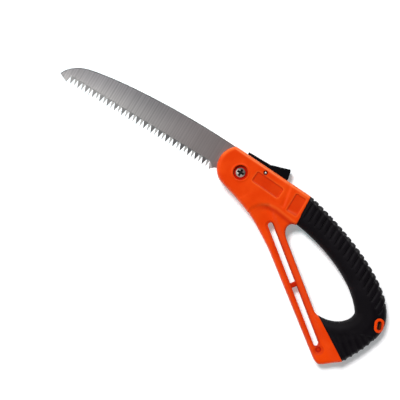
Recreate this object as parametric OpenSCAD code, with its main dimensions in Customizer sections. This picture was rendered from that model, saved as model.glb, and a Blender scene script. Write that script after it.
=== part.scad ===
// Folding pruning saw with a closed hand guard, shown open and lying on its back face.
// The blade turns on the Z axis. The open blade points along -X, with its teeth toward -Y.

/* [Blade] */
// Distance from the pivot to the tip, along the blade
blade_len = 216.5; // [205:0.5:225]
// Thickness of the blade plate
blade_thick = 1.4; // [1:0.1:2]
// Distance of the tooth tips from the line through the pivot
edge_drop = 13.4; // [12.8:0.1:14]
// Height of the spine over the pivot at the handle
spine_rise = 20.8; // [20:0.1:21.4]
// Distance of the heel tooth from the pivot, along the blade
heel_dist = 30.5; // [29:0.5:34]
// Distance of the chisel nose's corner from the tip, along the blade
nose_len = 9.6; // [7:0.1:12]
// Wanted distance between tooth tips, fitted to a whole number of teeth
tooth_pitch = 4.5; // [3:0.1:7]
// Depth of the gullets
tooth_depth = 7; // [4:0.1:8]
// Width of the flat at the bottom of each gullet
gullet_flat = 0.9; // [0.4:0.1:1.5]
// Radius of the round tang
tang_r = 15.5; // [15:0.1:16]
// Angle from the open blade to the folded blade
fold_angle = 142.5; // [140:0.5:145]

/* [Handle] */
// Thickness of the head and the grip
handle_thick = 24; // [22:0.5:28]
// Thickness of the guard arm
guard_thick = 17; // [16:0.5:19]
// Width of the channel between the guard's two walls
guard_gap = 6; // [4:0.5:7]
// Solid web of the guard behind the folded teeth
guard_web = 5.5; // [4:0.1:7]
// Space between the folded blade and the guard
blade_clear = 1.3; // [1:0.1:2]
// Wall of the guard past the folded tip
end_wall = 2.2; // [2:0.1:4]
// Width of the two windows in the guard
window_w = 5.6; // [4:0.1:7]
// Width of the bridge between the windows
window_bridge = 4.6; // [3:0.1:8]
// Wall of the hollow parts of the shells
shell_wall = 3; // [2:0.1:3.5]
// Depth of the recessed label fields
label_depth = 0.8; // [0.4:0.1:1.2]
// Width of the bevel on the shells' outer edges
edge_bevel = 2.4; // [1:0.1:3]

/* [Grip] */
// Thickness of the soft grip on the edges of the core
grip_wall = 3.2; // [2:0.1:4]
// Thickness of the soft grip on the faces of the core
grip_skin = 2.5; // [2:0.1:3.5]
// Distance between the ribs on the grip's outer edge
rib_pitch = 7; // [5:0.1:9]
// Width of the grooves between the ribs
rib_gap = 1.6; // [1:0.1:2.5]
// Depth of the grooves between the ribs
rib_depth = 0.9; // [0.5:0.1:1.2]
// Width of the lanyard eyelet
eyelet_w = 11.2; // [10:0.1:12]
// Width of the hole in the lanyard eyelet
eyelet_hole = 4.8; // [4:0.1:6]
// Distance between the round ends of the lanyard hole
eyelet_stretch = 5; // [3:0.1:6]

/* [Pivot] */
// Diameter of the pivot screw
screw_d = 5; // [4:0.5:6]
// Diameter of the pivot screw's head
screw_head_d = 10.4; // [9:0.1:12]
// Height of the pivot screw's head
screw_head_h = 3.4; // [2.5:0.1:3.8]
// Diameter of the counterbore for the pivot screw
screw_well_d = 15.6; // [13:0.1:17]
// Depth of the counterbores on both faces
well_depth = 4.2; // [3.9:0.1:4.5]
// Outer diameter of the barrel nut
barrel_d = 8; // [7.5:0.1:8.5]
// Diameter of the barrel nut's flange
flange_d = 12.4; // [11:0.1:13]
// Thickness of the barrel nut's flange
flange_h = 2.6; // [1.5:0.1:3]
// Outer diameter of the bush that the blade turns on
bush_d = 11; // [10:0.1:12]
// Outer diameter of the washers beside the blade
washer_d = 20; // [17:0.5:22]
// Thickness of the washers beside the blade
washer_thick = 0.8; // [0.6:0.1:1.2]
// Diameter of the stop pin
stop_d = 4; // [3:0.1:5]
// Depth of the stop pin's hole in each shell, from the middle plane
stop_seat = 5; // [3:0.5:6]

/* [Lock] */
// Thickness of the lock lever
lever_thick = 8; // [6:0.5:9]
// Diameter of the lock lever's pin
lock_pin_d = 3; // [2.5:0.1:3.5]
// Width of the nose that drops into the tang
nose_w = 4.8; // [4:0.1:5]
// Angle that the lever drops by to lock
lock_angle = 6; // [5:0.5:6.5]
// Angle that the pad is pressed by to release
press_angle = 5; // [3:0.5:5.5]
// Outer diameter of the lock spring
spring_d = 6; // [5:0.1:7]
// Wire of the lock spring
spring_wire = 0.9; // [0.7:0.1:1]
// Turns of the lock spring
spring_turns = 5; // [4:1:6]

/* [Fasteners and fits] */
// Diameter of the screws that join the shells
join_d = 3.5; // [3:0.1:4]
// Diameter of those screws' heads
join_head_d = 6.4; // [5.5:0.1:7]
// Height of those screws' heads
join_head_h = 2.3; // [1.8:0.1:2.6]
// Radial play of a part that turns on a pin
run_fit = 0.06; // [0.03:0.01:0.1]
// Radial play of a part that is pressed in
press_fit = 0.02; // [0.01:0.01:0.05]
// Gap between parts that lie beside each other
side_gap = 0.4; // [0.3:0.05:0.6]
// Bond line between the grip and its core
bond = 0.1; // [0.05:0.05:0.2]

/* [Hidden] */
$fn = 48;

orange = [0.94, 0.33, 0.08];
black = [0.10, 0.09, 0.10];
steel = [0.66, 0.67, 0.68];

mid = handle_thick / 2;
guard_half = guard_thick / 2;
core_half = mid - grip_skin;
head_gap = blade_thick + 2 * washer_thick + 2 * run_fit;
well_floor = mid - well_depth;
over = 1;

// The folded blade lies along fold_dir, and its teeth face fold_side.
fold_dir = [-cos(fold_angle), -sin(fold_angle)];
fold_side = [-fold_dir.y, fold_dir.x];
channel_side = edge_drop + blade_clear;
guard_side = channel_side + guard_web;
window_side = edge_drop - 3.4;
window_start = 63;
window_mid = blade_len / 2 + 22;
window_end = blade_len - 22;
tip_side = 9.6;

// Places in the handle: along the folded blade from the pivot, or from the folded tip.
function along(s, t) = s * fold_dir + t * fold_side;
function low(s, t) = along(blade_len + s, t);

// The handle's bottom edge, a little past the folded tip.
function bottom(t) = low(blade_clear + end_wall + 0.22 * (t - tip_side), t);

// The seam between the head and the grip, at height y.
function seam(y) = [76.9 - 0.058 * y, y];

// Points of a cubic curve without its last point.
function curve(a, b, c, d, n) = [for (i = [0:n - 1]) let (k = i / n, j = 1 - k)
    j * j * j * a + 3 * j * j * k * b + 3 * j * k * k * c + k * k * k * d];

function arc(centre, r, from, to, n) = [for (i = [0:n])
    let (a = from + (to - from) * i / n) centre + r * [cos(a), sin(a)]];

function unit(v) = v / norm(v);
function left_of(v) = [-v.y, v.x];
function shifted(p, a, b, d) = let (m = left_of(a) + left_of(b)) p + 2 * d * m / (m * m);

// An open line moved to its left by d.
function beside(pts, d) = let (n = len(pts) - 1) [for (i = [0:n])
    let (a = max(i, 1), b = min(i, n - 1))
    shifted(pts[i], unit(pts[a] - pts[a - 1]), unit(pts[b + 1] - pts[b]), d)];

// Outlines, counterclockwise seen from the front.
head_top = concat([seam(17.4), [30, 19.2], [-14, 21]], arc([-4, 3], 23, 128, 255, 12));
head_outline = concat(
    [seam(-16.3)], head_top,
    curve([4, -22.9], [12, -25.1], [20, -27.2], [28, -30.4], 3),
    curve([28, -30.4], [33, -18], [42, -12], [56, -14], 7),
    [[56, -14]]);

low_seam_in = low(-47.7, guard_side + 2.2);
low_seam_out = bottom(28.6);
guard_outline = concat(
    curve([12, -24], [32, -29.8], [42, -35.5], along(85, -0.7), 8),
    [along(85, -0.7), low(-8, 1.8), low(-1, 3), bottom(7), bottom(16), low_seam_out, low_seam_in,
     low(-52, guard_side), along(73, guard_side), [69.8, -24.5], [71.4, -20], seam(-15.5),
     [60, -6], [20, -10]]);

grip_inner = concat(
    curve([79.5, -15.5], [122, -20.5], low(-63.5, 69), low(-35.4, 60.3), 12),
    curve(low(-35.4, 60.3), low(-26, 52.2), low(-32.7, 32), low_seam_in, 8));
grip_outer = concat(
    curve(bottom(31), low(4.6, 48.6), low(1.8, 66.6), low(-9.2, 80.9), 6),
    curve(low(-9.2, 80.9), low(-37.5, 113.4), [118, 9], seam(17.4), 14));
grip_outline = concat(
    [seam(-15.6) + [bond, 0]], grip_inner, [low_seam_in + bond * fold_side, low_seam_out + bond * fold_side],
    grip_outer, [seam(17.4) + [bond, 0]]);

// The ribbed stretches of the grip: along X from rib_start, and toward the guard from low_rib_start.
rib_start = 88.4;
rib_run = 112;
rib_count = floor(rib_run / rib_pitch);
low_rib_start = 65.8;
low_rib_run = 42;
low_rib_count = floor(low_rib_run / rib_pitch);
rib_band = let (in = beside(grip_outer, rib_depth), n = len(in) - 1)
    concat(beside(grip_outer, -over), [for (i = [n:-1:0]) in[i]]);
rib_field = [[79, -6.5], [120, -12], [140, -19], [160, -28.5], [180, -40], [198, -50], low(-11, 62),
    low(-23.5, 31), low(12, 31), low(12, 70), [220, -20], [79, 30]];

function core_outline(grow) = concat(
    [[62, -10 - grow]], beside(grip_inner, grip_wall - grow), [low(-42, 21.5), low(2, 26.5)],
    beside(grip_outer, grip_wall - grow), [[62, 13.5 + grow]]);

// Label fields: corner and size.
label_field = [[14.4, -1.5], [32.6, 11.5]];
panel_field = [[61.5, -8], [11.5, 19]];

// Pins and screws.
stop_at = [-12.5, 17.3];
lock_at = [22.5, 13.4];
pin_well = 1.2;
spring_x = 38;
spring_seat_y = 7.6;
join_at = [[67, 2], [62, -20.5], low(-13.5, 25), [118, -9], low(-34, 74.4)];
join_seat = guard_half - join_head_h - side_gap;
join_reach = guard_half - 2;
eyelet_at = low(-14.9, 77.9);
eyelet_turn = fold_angle - 27.5;

// The lock lever, with its nose just over the tang.
nose_front = -3.2;
nose_low = tang_r + 0.35;
arm_low = 17.8;
pad_low = 17.5;
pad_end = 46.3;
lever_boss = 4.6;
nose_back = nose_front + nose_w;
lever_outline = [[nose_front, nose_low], [nose_back, nose_low], [nose_back + 0.6, arm_low],
    [30, arm_low], [31, pad_low], [pad_end - 0.3, pad_low], [pad_end, 20.4], [43.7, 30.4],
    [27, 25.4], [23.3, 23.9], [nose_front, 23.4]];
notch_floor = nose_low - (lock_at.x - nose_front) * sin(lock_angle) - side_gap;
pad_floor = pad_low - (pad_end - lock_at.x) * sin(press_angle) - side_gap;

module prism(outline, height) {
    linear_extrude(height) polygon(outline);
}

// What a bevel takes off the top edges along a line of points, with the solid on its left.
module bevels(pts, top) {
    for (i = [1:len(pts) - 1]) {
        run = pts[i] - pts[i - 1];
        translate(pts[i - 1]) rotate(atan2(run.y, run.x)) translate([-over, 0, 0])
            rotate([90, 0, 90]) linear_extrude(norm(run) + 2 * over)
            polygon([[edge_bevel + over, top + over], [-over, top + over], [-over, top - edge_bevel - over]]);
    }
}

// A slot with round ends between two points, standing on the middle plane.
module round_slot(a, b, width, height) {
    run = b - a;
    turn = atan2(run.y, run.x);
    r = width / 2;
    prism(concat(arc(b, r, turn - 90, turn + 90, 10), arc(a, r, turn + 90, turn + 270, 10)), height);
}

module eyelet_slot(width, height) {
    half = eyelet_stretch / 2 * [cos(eyelet_turn), sin(eyelet_turn)];
    round_slot(eyelet_at - half, eyelet_at + half, width, height);
}

// The orange end of the guard, which rises to meet the grip.
module guard_end() {
    run = low_seam_out - low_seam_in;
    rise = [[0, 0], [0, mid], [-3, mid], [-9, guard_half], [-9, 0]];
    intersection() {
        translate(low_seam_in) rotate(atan2(run.y, run.x)) translate([-norm(run) / 2, 0, 0])
            rotate([90, 0, 90]) linear_extrude(2 * norm(run)) polygon(rise);
        prism([low_seam_in, low(-52, guard_side), low(-50, channel_side + 1), bottom(channel_side + 1),
            low_seam_out], mid);
    }
}

// The space that the blade needs on its way into the guard, less the block between stop pin and lever.
module blade_space() {
    difference() {
        translate([0, 0, -over]) {
            cylinder(r = tang_r + blade_clear, h = over + head_gap / 2);
            prism([along(-90, channel_side), along(-90, -90), along(80, -90), along(80, channel_side)],
                over + head_gap / 2);
        }
        translate([-10, tang_r + blade_clear, 0]) cube([5.6, 10, head_gap]);
    }
    translate([0, 0, -over]) prism([along(45, channel_side), along(45, -30), low(30, -30), low(30, 2),
        low(blade_clear, 4), low(blade_clear, channel_side)], over + guard_gap / 2);
}

// The space that the lock lever and its spring need.
module lever_space() {
    half = lever_thick / 2 + side_gap;
    left = nose_front - 3 * side_gap;
    translate([left, pad_floor, -over]) cube([pad_end + 3 * side_gap - left, 20, over + half]);
    translate([left, notch_floor, -over]) cube([nose_w + 5 * side_gap, 5, over + half]);
    translate([lock_at.x, lock_at.y, -over]) cylinder(r = lever_boss + side_gap, h = over + half);
    translate([spring_x, spring_seat_y, 0]) rotate([-90, 0, 0]) cylinder(d = spring_d + 2 * side_gap, h = 10);
}

// What both shells share, with the middle plane at z = 0 and the outer face up.
module shell_half() {
    difference() {
        union() {
            prism(head_outline, mid);
            prism(guard_outline, guard_half);
            guard_end();
            prism(core_outline(0), core_half);
            eyelet_slot(eyelet_w, mid - 2);
        }
        blade_space();
        lever_space();
        core_hollow();
        translate([0, 0, -over]) eyelet_slot(eyelet_hole, mid + 2 * over);
        for (ends = [[window_start, window_mid - (window_bridge + window_w) / 2],
                     [window_mid + (window_bridge + window_w) / 2, window_end]])
            translate([0, 0, -over])
                round_slot(along(ends[0], window_side), along(ends[1], window_side), window_w, mid + over);
        translate([0, 0, -over]) cylinder(d = barrel_d + 2 * press_fit, h = well_floor - 0.5 + over);
        translate([stop_at.x, stop_at.y, -over]) cylinder(d = stop_d + 2 * press_fit, h = stop_seat + over);
        field(panel_field);
        bevels(head_top, mid);
        bevels([along(85, -0.7), low(-8, 1.8), low(-1, 3), bottom(7), bottom(16)], guard_half);
        bevels([low(-52, guard_side), along(73, guard_side)], guard_half);
    }
}

module field(place) {
    translate([place[0].x, place[0].y, mid - label_depth]) cube([place[1].x, place[1].y, over + label_depth]);
}

// The hollow of the grip's core, with a boss round each screw.
module core_hollow() {
    difference() {
        translate([0, 0, -over]) prism(concat(
            beside(grip_inner, grip_wall + shell_wall), beside(grip_outer, grip_wall + shell_wall)),
            core_half - shell_wall + over);
        for (p = join_at) translate([p.x, p.y, -over]) cylinder(d = join_d + 2 * shell_wall, h = mid + over);
        translate([0, 0, -over]) eyelet_slot(eyelet_w, mid + over);
    }
}

module front_shell() {
    color(orange) translate([0, 0, mid]) difference() {
        shell_half();
        translate([0, 0, well_floor]) cylinder(d = screw_well_d, h = well_depth + over);
        translate([0, 0, well_floor - over]) cylinder(d = screw_d + 2 * side_gap, h = 2 * over);
        field(label_field);
        translate(lock_at) {
            cylinder(d = lock_pin_d + 2 * press_fit, h = mid + over);
            translate([0, 0, mid - pin_well]) cylinder(d = lock_pin_d + 4 * side_gap, h = pin_well + over);
        }
        for (p = join_at) translate([p.x, p.y, -over])
            cylinder(d = join_d + 2 * press_fit, h = over + join_reach + side_gap);
    }
}

module back_shell() {
    color(orange) translate([0, 0, mid]) mirror([0, 0, 1]) difference() {
        shell_half();
        translate([0, 0, well_floor]) cylinder(d = flange_d + 2 * side_gap, h = well_depth + over);
        translate([0, 0, well_floor - over]) cylinder(d = barrel_d + 2 * press_fit, h = 2 * over);
        translate([lock_at.x, lock_at.y, -over])
            cylinder(d = lock_pin_d + 2 * press_fit, h = mid - shell_wall + over);
        for (p = join_at) translate([p.x, p.y, -over]) {
            cylinder(d = join_d + 2 * press_fit, h = 2 * over + join_seat);
            translate([0, 0, over + join_seat]) cylinder(d = join_head_d + 2 * side_gap, h = mid);
        }
    }
}

// The grooves between the ribs, on the outer edge and on the face beside it.
module rib_grooves() {
    intersection() {
        union() {
            for (i = [0:rib_count - 1]) translate([rib_start + i * rib_pitch, -60, -over])
                cube([rib_gap, 90, handle_thick]);
            for (i = [0:low_rib_count - 1]) let (t = low_rib_start - i * rib_pitch) translate([0, 0, -over])
                prism([low(-40, t), low(20, t), low(20, t + rib_gap), low(-40, t + rib_gap)], handle_thick);
        }
        union() {
            translate([0, 0, -over]) prism(rib_band, handle_thick);
            translate([0, 0, mid - rib_depth]) prism(rib_field, over + rib_depth);
        }
    }
}

// One half of the grip, with the middle plane at z = 0 and the outer face up.
module grip_half() {
    difference() {
        prism(grip_outline, mid);
        translate([0, 0, -over]) prism(core_outline(bond), core_half + bond + over);
        translate([0, 0, -over]) eyelet_slot(eyelet_w + 2 * bond, mid + 2 * over);
        rib_grooves();
    }
}

module front_grip() {
    color(black) translate([0, 0, mid]) grip_half();
}

module back_grip() {
    color(black) translate([0, 0, mid]) mirror([0, 0, 1]) difference() {
        grip_half();
        for (p = join_at) translate([p.x, p.y, 0]) cylinder(d = join_head_d + 2 * side_gap, h = mid + over);
    }
}

// The blade's outline: shoulder, spine, chisel nose, teeth from the tip to the heel, and the tang's root.
edge_len = blade_len - nose_len - heel_dist;
tooth_count = round(edge_len / tooth_pitch);
tooth_step = edge_len / tooth_count;
shoulder_x = stop_at.x - stop_d / 2 - 0.3;
function tooth_x(i) = -heel_dist - i * tooth_step;
blade_outline = concat(
    [[-5, 6], [shoulder_x, 6]],
    curve([shoulder_x, spine_rise], [-85, spine_rise + 4.7], [57 - blade_len, 17],
        [13.5 - blade_len, 6.5], 14),
    curve([13.5 - blade_len, 6.5], [7 - blade_len, 2], [2 - blade_len, -4], [-blade_len, -tip_side], 4),
    [[-blade_len, -tip_side], [nose_len - blade_len, -edge_drop]],
    [for (i = [tooth_count - 1:-1:0]) each
        [[tooth_x(i + 0.5) - gullet_flat / 2, tooth_depth - edge_drop],
         [tooth_x(i + 0.5) + gullet_flat / 2, tooth_depth - edge_drop],
         [tooth_x(i), -edge_drop]]],
    [[2.4 - heel_dist, 2.2 - edge_drop], [6 - heel_dist, 5 - edge_drop], [-10, -8]]);

module blade() {
    color(steel) translate([0, 0, mid - blade_thick / 2]) difference() {
        union() {
            prism(blade_outline, blade_thick);
            cylinder(r = tang_r, h = blade_thick);
        }
        translate([0, 0, -over]) cylinder(d = bush_d + 2 * run_fit, h = blade_thick + 2 * over);
        // The notches that take the lever's nose at both ends of the fold
        for (turn = [0, -fold_angle]) rotate(turn) translate([nose_front - side_gap, notch_floor, -over])
            cube([nose_w + 2 * side_gap, tang_r, blade_thick + 2 * over]);
    }
}

module pivot_screw() {
    color(steel) translate([0, 0, mid]) {
        translate([0, 0, -well_floor]) cylinder(d = screw_d, h = 2 * well_floor);
        difference() {
            translate([0, 0, well_floor]) cylinder(d = screw_head_d, h = screw_head_h);
            for (turn = [0, 90]) rotate(turn)
                translate([-3.2, -0.7, well_floor + 1.2]) cube([6.4, 1.4, screw_head_h]);
        }
    }
}

module pivot_nut() {
    color(steel) translate([0, 0, mid]) difference() {
        union() {
            translate([0, 0, -well_floor - flange_h / 2])
                cylinder(d = barrel_d, h = 2 * well_floor - 1 + flange_h / 2);
            translate([0, 0, -well_floor - flange_h]) cylinder(d = flange_d, h = flange_h);
        }
        translate([0, 0, -mid]) cylinder(d = screw_d + 2 * press_fit, h = handle_thick);
    }
}

module ring(outer, inner, height) {
    difference() {
        cylinder(d = outer, h = height);
        translate([0, 0, -over]) cylinder(d = inner, h = height + 2 * over);
    }
}

module pivot_bush() {
    color(steel) translate([0, 0, mid - head_gap / 2]) ring(bush_d, barrel_d + 2 * press_fit, head_gap);
}

module front_washer() {
    color(steel) translate([0, 0, mid + head_gap / 2 - washer_thick])
        ring(washer_d, bush_d + 2 * run_fit, washer_thick);
}

module back_washer() {
    color(steel) translate([0, 0, mid - head_gap / 2]) ring(washer_d, bush_d + 2 * run_fit, washer_thick);
}

module lock_lever() {
    color(black) translate([0, 0, mid - lever_thick / 2]) difference() {
        union() {
            prism(lever_outline, lever_thick);
            translate(lock_at) cylinder(r = lever_boss, h = lever_thick);
        }
        translate([lock_at.x, lock_at.y, -over])
            cylinder(d = lock_pin_d + 2 * run_fit, h = lever_thick + 2 * over);
    }
}

module lock_pin() {
    color(steel) translate([lock_at.x, lock_at.y, shell_wall])
        cylinder(d = lock_pin_d, h = handle_thick - shell_wall - pin_well + 0.2);
}

// A coil of round wire with its axis along Y.
module lock_spring() {
    sides = 6;
    steps = 12;
    coil_r = (spring_d - spring_wire) / 2;
    length = pad_low - spring_seat_y - spring_wire;
    turns = spring_turns * steps;
    centres = [for (i = [0:turns])
        [coil_r * cos(i * 360 / steps), i * length / turns, coil_r * sin(i * 360 / steps)]];
    echo(spring_gap = min([for (i = [0:turns - steps]) norm(centres[i + steps] - centres[i])]) - spring_wire);
    points = [for (i = [0:turns]) for (k = [0:sides - 1])
        let (out = [cos(i * 360 / steps), 0, sin(i * 360 / steps)], a = k * 360 / sides)
        centres[i] + spring_wire / 2 * (cos(a) * out + sin(a) * [0, 1, 0])];
    skin = [for (i = [0:turns - 1]) for (k = [0:sides - 1])
        let (a = i * sides + k, b = i * sides + (k + 1) % sides)
        each [[a, b, b + sides], [a, b + sides, a + sides]]];
    color(steel) translate([spring_x, spring_seat_y + spring_wire / 2, mid])
        polyhedron(points, concat([[for (k = [sides - 1:-1:0]) k]], skin,
            [[for (k = [0:sides - 1]) turns * sides + k]]));
}

module stop_pin() {
    half = stop_seat - side_gap;
    color(steel) translate([stop_at.x, stop_at.y, mid - half]) cylinder(d = stop_d, h = 2 * half);
}

module shell_screws() {
    color(steel) for (p = join_at) translate([p.x, p.y, mid - join_seat]) {
        cylinder(d = join_d, h = join_seat + join_reach);
        difference() {
            translate([0, 0, -join_head_h]) cylinder(d = join_head_d, h = join_head_h);
            for (turn = [0, 90]) rotate(turn)
                translate([-2, -0.5, -join_head_h - over]) cube([4, 1, over + 1.2]);
        }
    }
}

front_shell();
back_shell();
front_grip();
back_grip();
blade();
pivot_screw();
pivot_nut();
pivot_bush();
front_washer();
back_washer();
lock_lever();
lock_pin();
lock_spring();
stop_pin();
shell_screws();
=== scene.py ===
import math

import bmesh
import bpy
import numpy as np
import openvdb
from mathutils import Matrix, Vector
from mathutils.geometry import delaunay_2d_cdt


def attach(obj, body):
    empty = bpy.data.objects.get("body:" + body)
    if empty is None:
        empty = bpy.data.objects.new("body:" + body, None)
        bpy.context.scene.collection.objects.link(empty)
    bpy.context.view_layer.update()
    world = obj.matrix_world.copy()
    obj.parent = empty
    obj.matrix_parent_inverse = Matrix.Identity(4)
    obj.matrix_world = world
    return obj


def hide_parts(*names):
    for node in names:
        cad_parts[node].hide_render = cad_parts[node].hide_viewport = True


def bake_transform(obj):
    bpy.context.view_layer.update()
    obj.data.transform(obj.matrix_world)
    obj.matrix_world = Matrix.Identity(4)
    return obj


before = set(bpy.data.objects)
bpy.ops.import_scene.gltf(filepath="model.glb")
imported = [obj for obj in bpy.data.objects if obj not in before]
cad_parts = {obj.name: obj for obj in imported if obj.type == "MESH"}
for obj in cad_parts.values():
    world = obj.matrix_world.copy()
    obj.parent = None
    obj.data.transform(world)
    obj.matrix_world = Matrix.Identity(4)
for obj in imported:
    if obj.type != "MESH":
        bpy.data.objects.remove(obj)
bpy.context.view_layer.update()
print("frame loaded:", len(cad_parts), "nodes")

# Shapes are written in millimetres, in the saw's own frame, and become metres in the mesh.
mm = 0.001
handle = {
    "mid": 12.0,  # height of the plane between the two halves
    "foldAngle": 142.5,
    "bladeLen": 216.5,
    "bottom": (2.75, 0.22, 9.6),  # the bottom edge: how far past the folded tip, its slant, and at which side
    "seam": (76.9, 0.058),  # where the seam between head and grip crosses y = 0, and its slant
    "guardSide": 20.2,  # inner edge of the guard arm, from the folded blade's line
    "eyelet": 5.0,  # length of the eyelet's middle line
    "eyeletTurn": 115.0,
}
turn = math.radians(handle["foldAngle"])
foldDir = np.array([-math.cos(turn), -math.sin(turn)])
foldSide = np.array([-foldDir[1], foldDir[0]])


def along(s, t):  # a place along the folded blade, from the pivot
    return s * foldDir + t * foldSide


def low(s, t):  # the same, from the folded tip
    return along(handle["bladeLen"] + s, t)


def bottom(t):  # the handle's bottom edge
    past, slant, side = handle["bottom"]
    return low(past + slant * (t - side), t)


def seam(y):  # the seam between head and grip
    start, slant = handle["seam"]
    return np.array([start - slant * y, y])


def curve(a, b, c, d, count=20):  # cubic curve without its last point
    k = np.arange(count)[:, None] / count
    a, b, c, d = (np.array(p, float) for p in (a, b, c, d))
    return list((1 - k) ** 3 * a + 3 * (1 - k) ** 2 * k * b + 3 * (1 - k) * k**2 * c + k**3 * d)


def arc(centre, radius, start, end, count=32):
    a = np.radians(np.linspace(start, end, count + 1))
    return [np.array(centre) + radius * np.array([math.cos(v), math.sin(v)]) for v in a]


def ease(value, start, end):  # 0 before start, 1 after end, smooth between
    k = np.clip((value - start) / (end - start), 0, 1)
    return k * k * (3 - 2 * k)


def bell(value, width):
    return np.exp(-((value / width) ** 2))


# Distance fields: below zero inside the piece, in millimetres.
def join(a, b, fillet):
    k = np.clip(0.5 + 0.5 * (b - a) / fillet, 0, 1)
    return b * (1 - k) + a * k - fillet * k * (1 - k)


def cut(a, b, fillet):
    return -join(-a, b, fillet)


def meet(a, b, fillet):
    return -join(-a, -b, fillet)


def roundTop(side, height, radius):  # side and height are distances past the wall and past the top
    a, b = side + radius, height + radius
    return np.minimum(np.maximum(a, b), 0) + np.hypot(np.maximum(a, 0), np.maximum(b, 0)) - radius


class Block:  # the sample points in which one piece is shaped
    def __init__(self, lowest, highest, step):
        self.lowest, self.step = np.array(lowest, float), step
        x, y, self.z = (np.arange(a, b + step, step) for a, b in zip(lowest, highest))
        self.x, self.y = np.meshgrid(x, y, indexing="ij")
        self.s = self.x * foldDir[0] + self.y * foldDir[1]
        self.t = self.x * foldSide[0] + self.y * foldSide[1]

    def toLine(self, points):  # distance to an open line
        best = np.full(self.x.shape, 1e9)
        for p, q in zip(points[:-1], points[1:]):
            dx, dy = q[0] - p[0], q[1] - p[1]
            run = max(dx * dx + dy * dy, 1e-12)
            k = np.clip(((self.x - p[0]) * dx + (self.y - p[1]) * dy) / run, 0, 1)
            best = np.minimum(best, (self.x - p[0] - k * dx) ** 2 + (self.y - p[1] - k * dy) ** 2)
        return np.sqrt(best)

    def outline(self, points):  # signed distance to a closed outline
        points = list(points) + [points[0]]
        inside = np.zeros(self.x.shape, bool)
        for p, q in zip(points[:-1], points[1:]):
            if p[1] != q[1]:
                crosses = (p[1] <= self.y) != (q[1] <= self.y)
                inside ^= crosses & (self.x < p[0] + (self.y - p[1]) * (q[0] - p[0]) / (q[1] - p[1]))
        return np.where(inside, -1, 1) * self.toLine(points)

    def ring(self, centre):
        return np.hypot(self.x - centre[0], self.y - centre[1])

    def panel(self, centre, size, degrees, corner):  # a rectangle with round corners
        a = math.radians(degrees)
        dx, dy = self.x - centre[0], self.y - centre[1]
        u = np.abs(dx * math.cos(a) + dy * math.sin(a)) - size[0] / 2 + corner
        v = np.abs(dy * math.cos(a) - dx * math.sin(a)) - size[1] / 2 + corner
        return np.hypot(np.maximum(u, 0), np.maximum(v, 0)) + np.minimum(np.maximum(u, v), 0) - corner

    def box(self, left, right, front, back):
        across = np.maximum(left - self.x, self.x - right)
        return np.maximum(across, np.maximum(front - self.y, self.y - back))

    def sample(self, field, points):  # value of a field, flat or solid, at points given in steps
        sides = field.ndim
        cell = np.clip(np.floor(points[:, :sides]).astype(int), 0, np.array(field.shape) - 2)
        part = points[:, :sides] - cell
        value = np.zeros(len(points))
        for corner in np.ndindex(*[2] * sides):
            weight = np.prod([part[:, i] if corner[i] else 1 - part[:, i] for i in range(sides)], axis=0)
            value += weight * field[tuple((cell + corner).T)]
        return value

    def mesh(self, name, field, upward=True, **marks):  # upward False turns the piece over, for the back
        field = field.astype(np.float32)
        grid = openvdb.FloatGrid(float(self.step))
        reach = 3 * self.step  # the field is needed only close to the surface
        grid.copyFromArray(np.clip(field, -reach, reach))
        points, triangles, quads = grid.convertToPolygons(0.0, 0.0)
        normals = np.stack([self.sample(slope, points) for slope in np.gradient(field)], -1)
        normals = normals / np.maximum(np.linalg.norm(normals, axis=1), 1e-9)[:, None]
        places = self.lowest + self.step * points
        faces = [tuple(f) for f in triangles] + [tuple(f) for f in quads]
        if not upward:
            places[:, 2], normals[:, 2] = -places[:, 2], -normals[:, 2]
        places[:, 2] += handle["mid"]
        a, b, c = (places[faces[0][i]] for i in range(3))
        if np.cross(b - a, c - a) @ normals[faces[0][0]] < 0:
            faces = [f[::-1] for f in faces]
        piece = newPiece(name, places, faces, normals)
        for mark, values in marks.items():  # such as the painted shade in the recesses, for the finish
            layer = piece.data.attributes.new(mark, "FLOAT", "POINT")
            layer.data.foreach_set("value", self.sample(values, points).astype(np.float32))
        return piece


def newObject(name, data):
    item = bpy.data.objects.new(name, data)
    bpy.context.scene.collection.objects.link(item)
    return item


def newPiece(name, places, faces, normals=None):
    data = bpy.data.meshes.new(name)
    data.from_pydata((np.array(places) * mm).tolist(), [], faces)
    data.validate()
    if normals is not None:
        data.polygons.foreach_set("use_smooth", np.ones(len(data.polygons), bool))
        data.normals_split_custom_set_from_vertices(normals.tolist())
    return newObject(name, data)


def fit(piece, finish, body, node):
    if finish:
        piece.data.materials.append(finish.material)
    if body:
        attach(piece, body)
    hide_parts(node)
    print("piece:", piece.name, len(piece.data.polygons), "faces")


def paint(red, green, blue):  # a screen colour from 0 to 255 as linear light
    screen = [v / 255 for v in (red, green, blue)]
    return tuple(((v + 0.055) / 1.055) ** 2.4 if v > 0.04 else v / 12.92 for v in screen) + (1,)


class Wire:  # a socket that takes part in sums
    def __init__(self, finish, socket):
        self.finish, self.socket = finish, socket

    def sum(self, operation, a, b):
        return self.finish.node("ShaderNodeMath", {"operation": operation}, {0: a, 1: b})

    def __add__(self, other):
        return self.sum("ADD", self, other)

    def __radd__(self, other):
        return self.sum("ADD", other, self)

    def __sub__(self, other):
        return self.sum("SUBTRACT", self, other)

    def __rsub__(self, other):
        return self.sum("SUBTRACT", other, self)

    def __mul__(self, other):
        return self.sum("MULTIPLY", self, other)

    def __rmul__(self, other):
        return self.sum("MULTIPLY", other, self)


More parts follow.
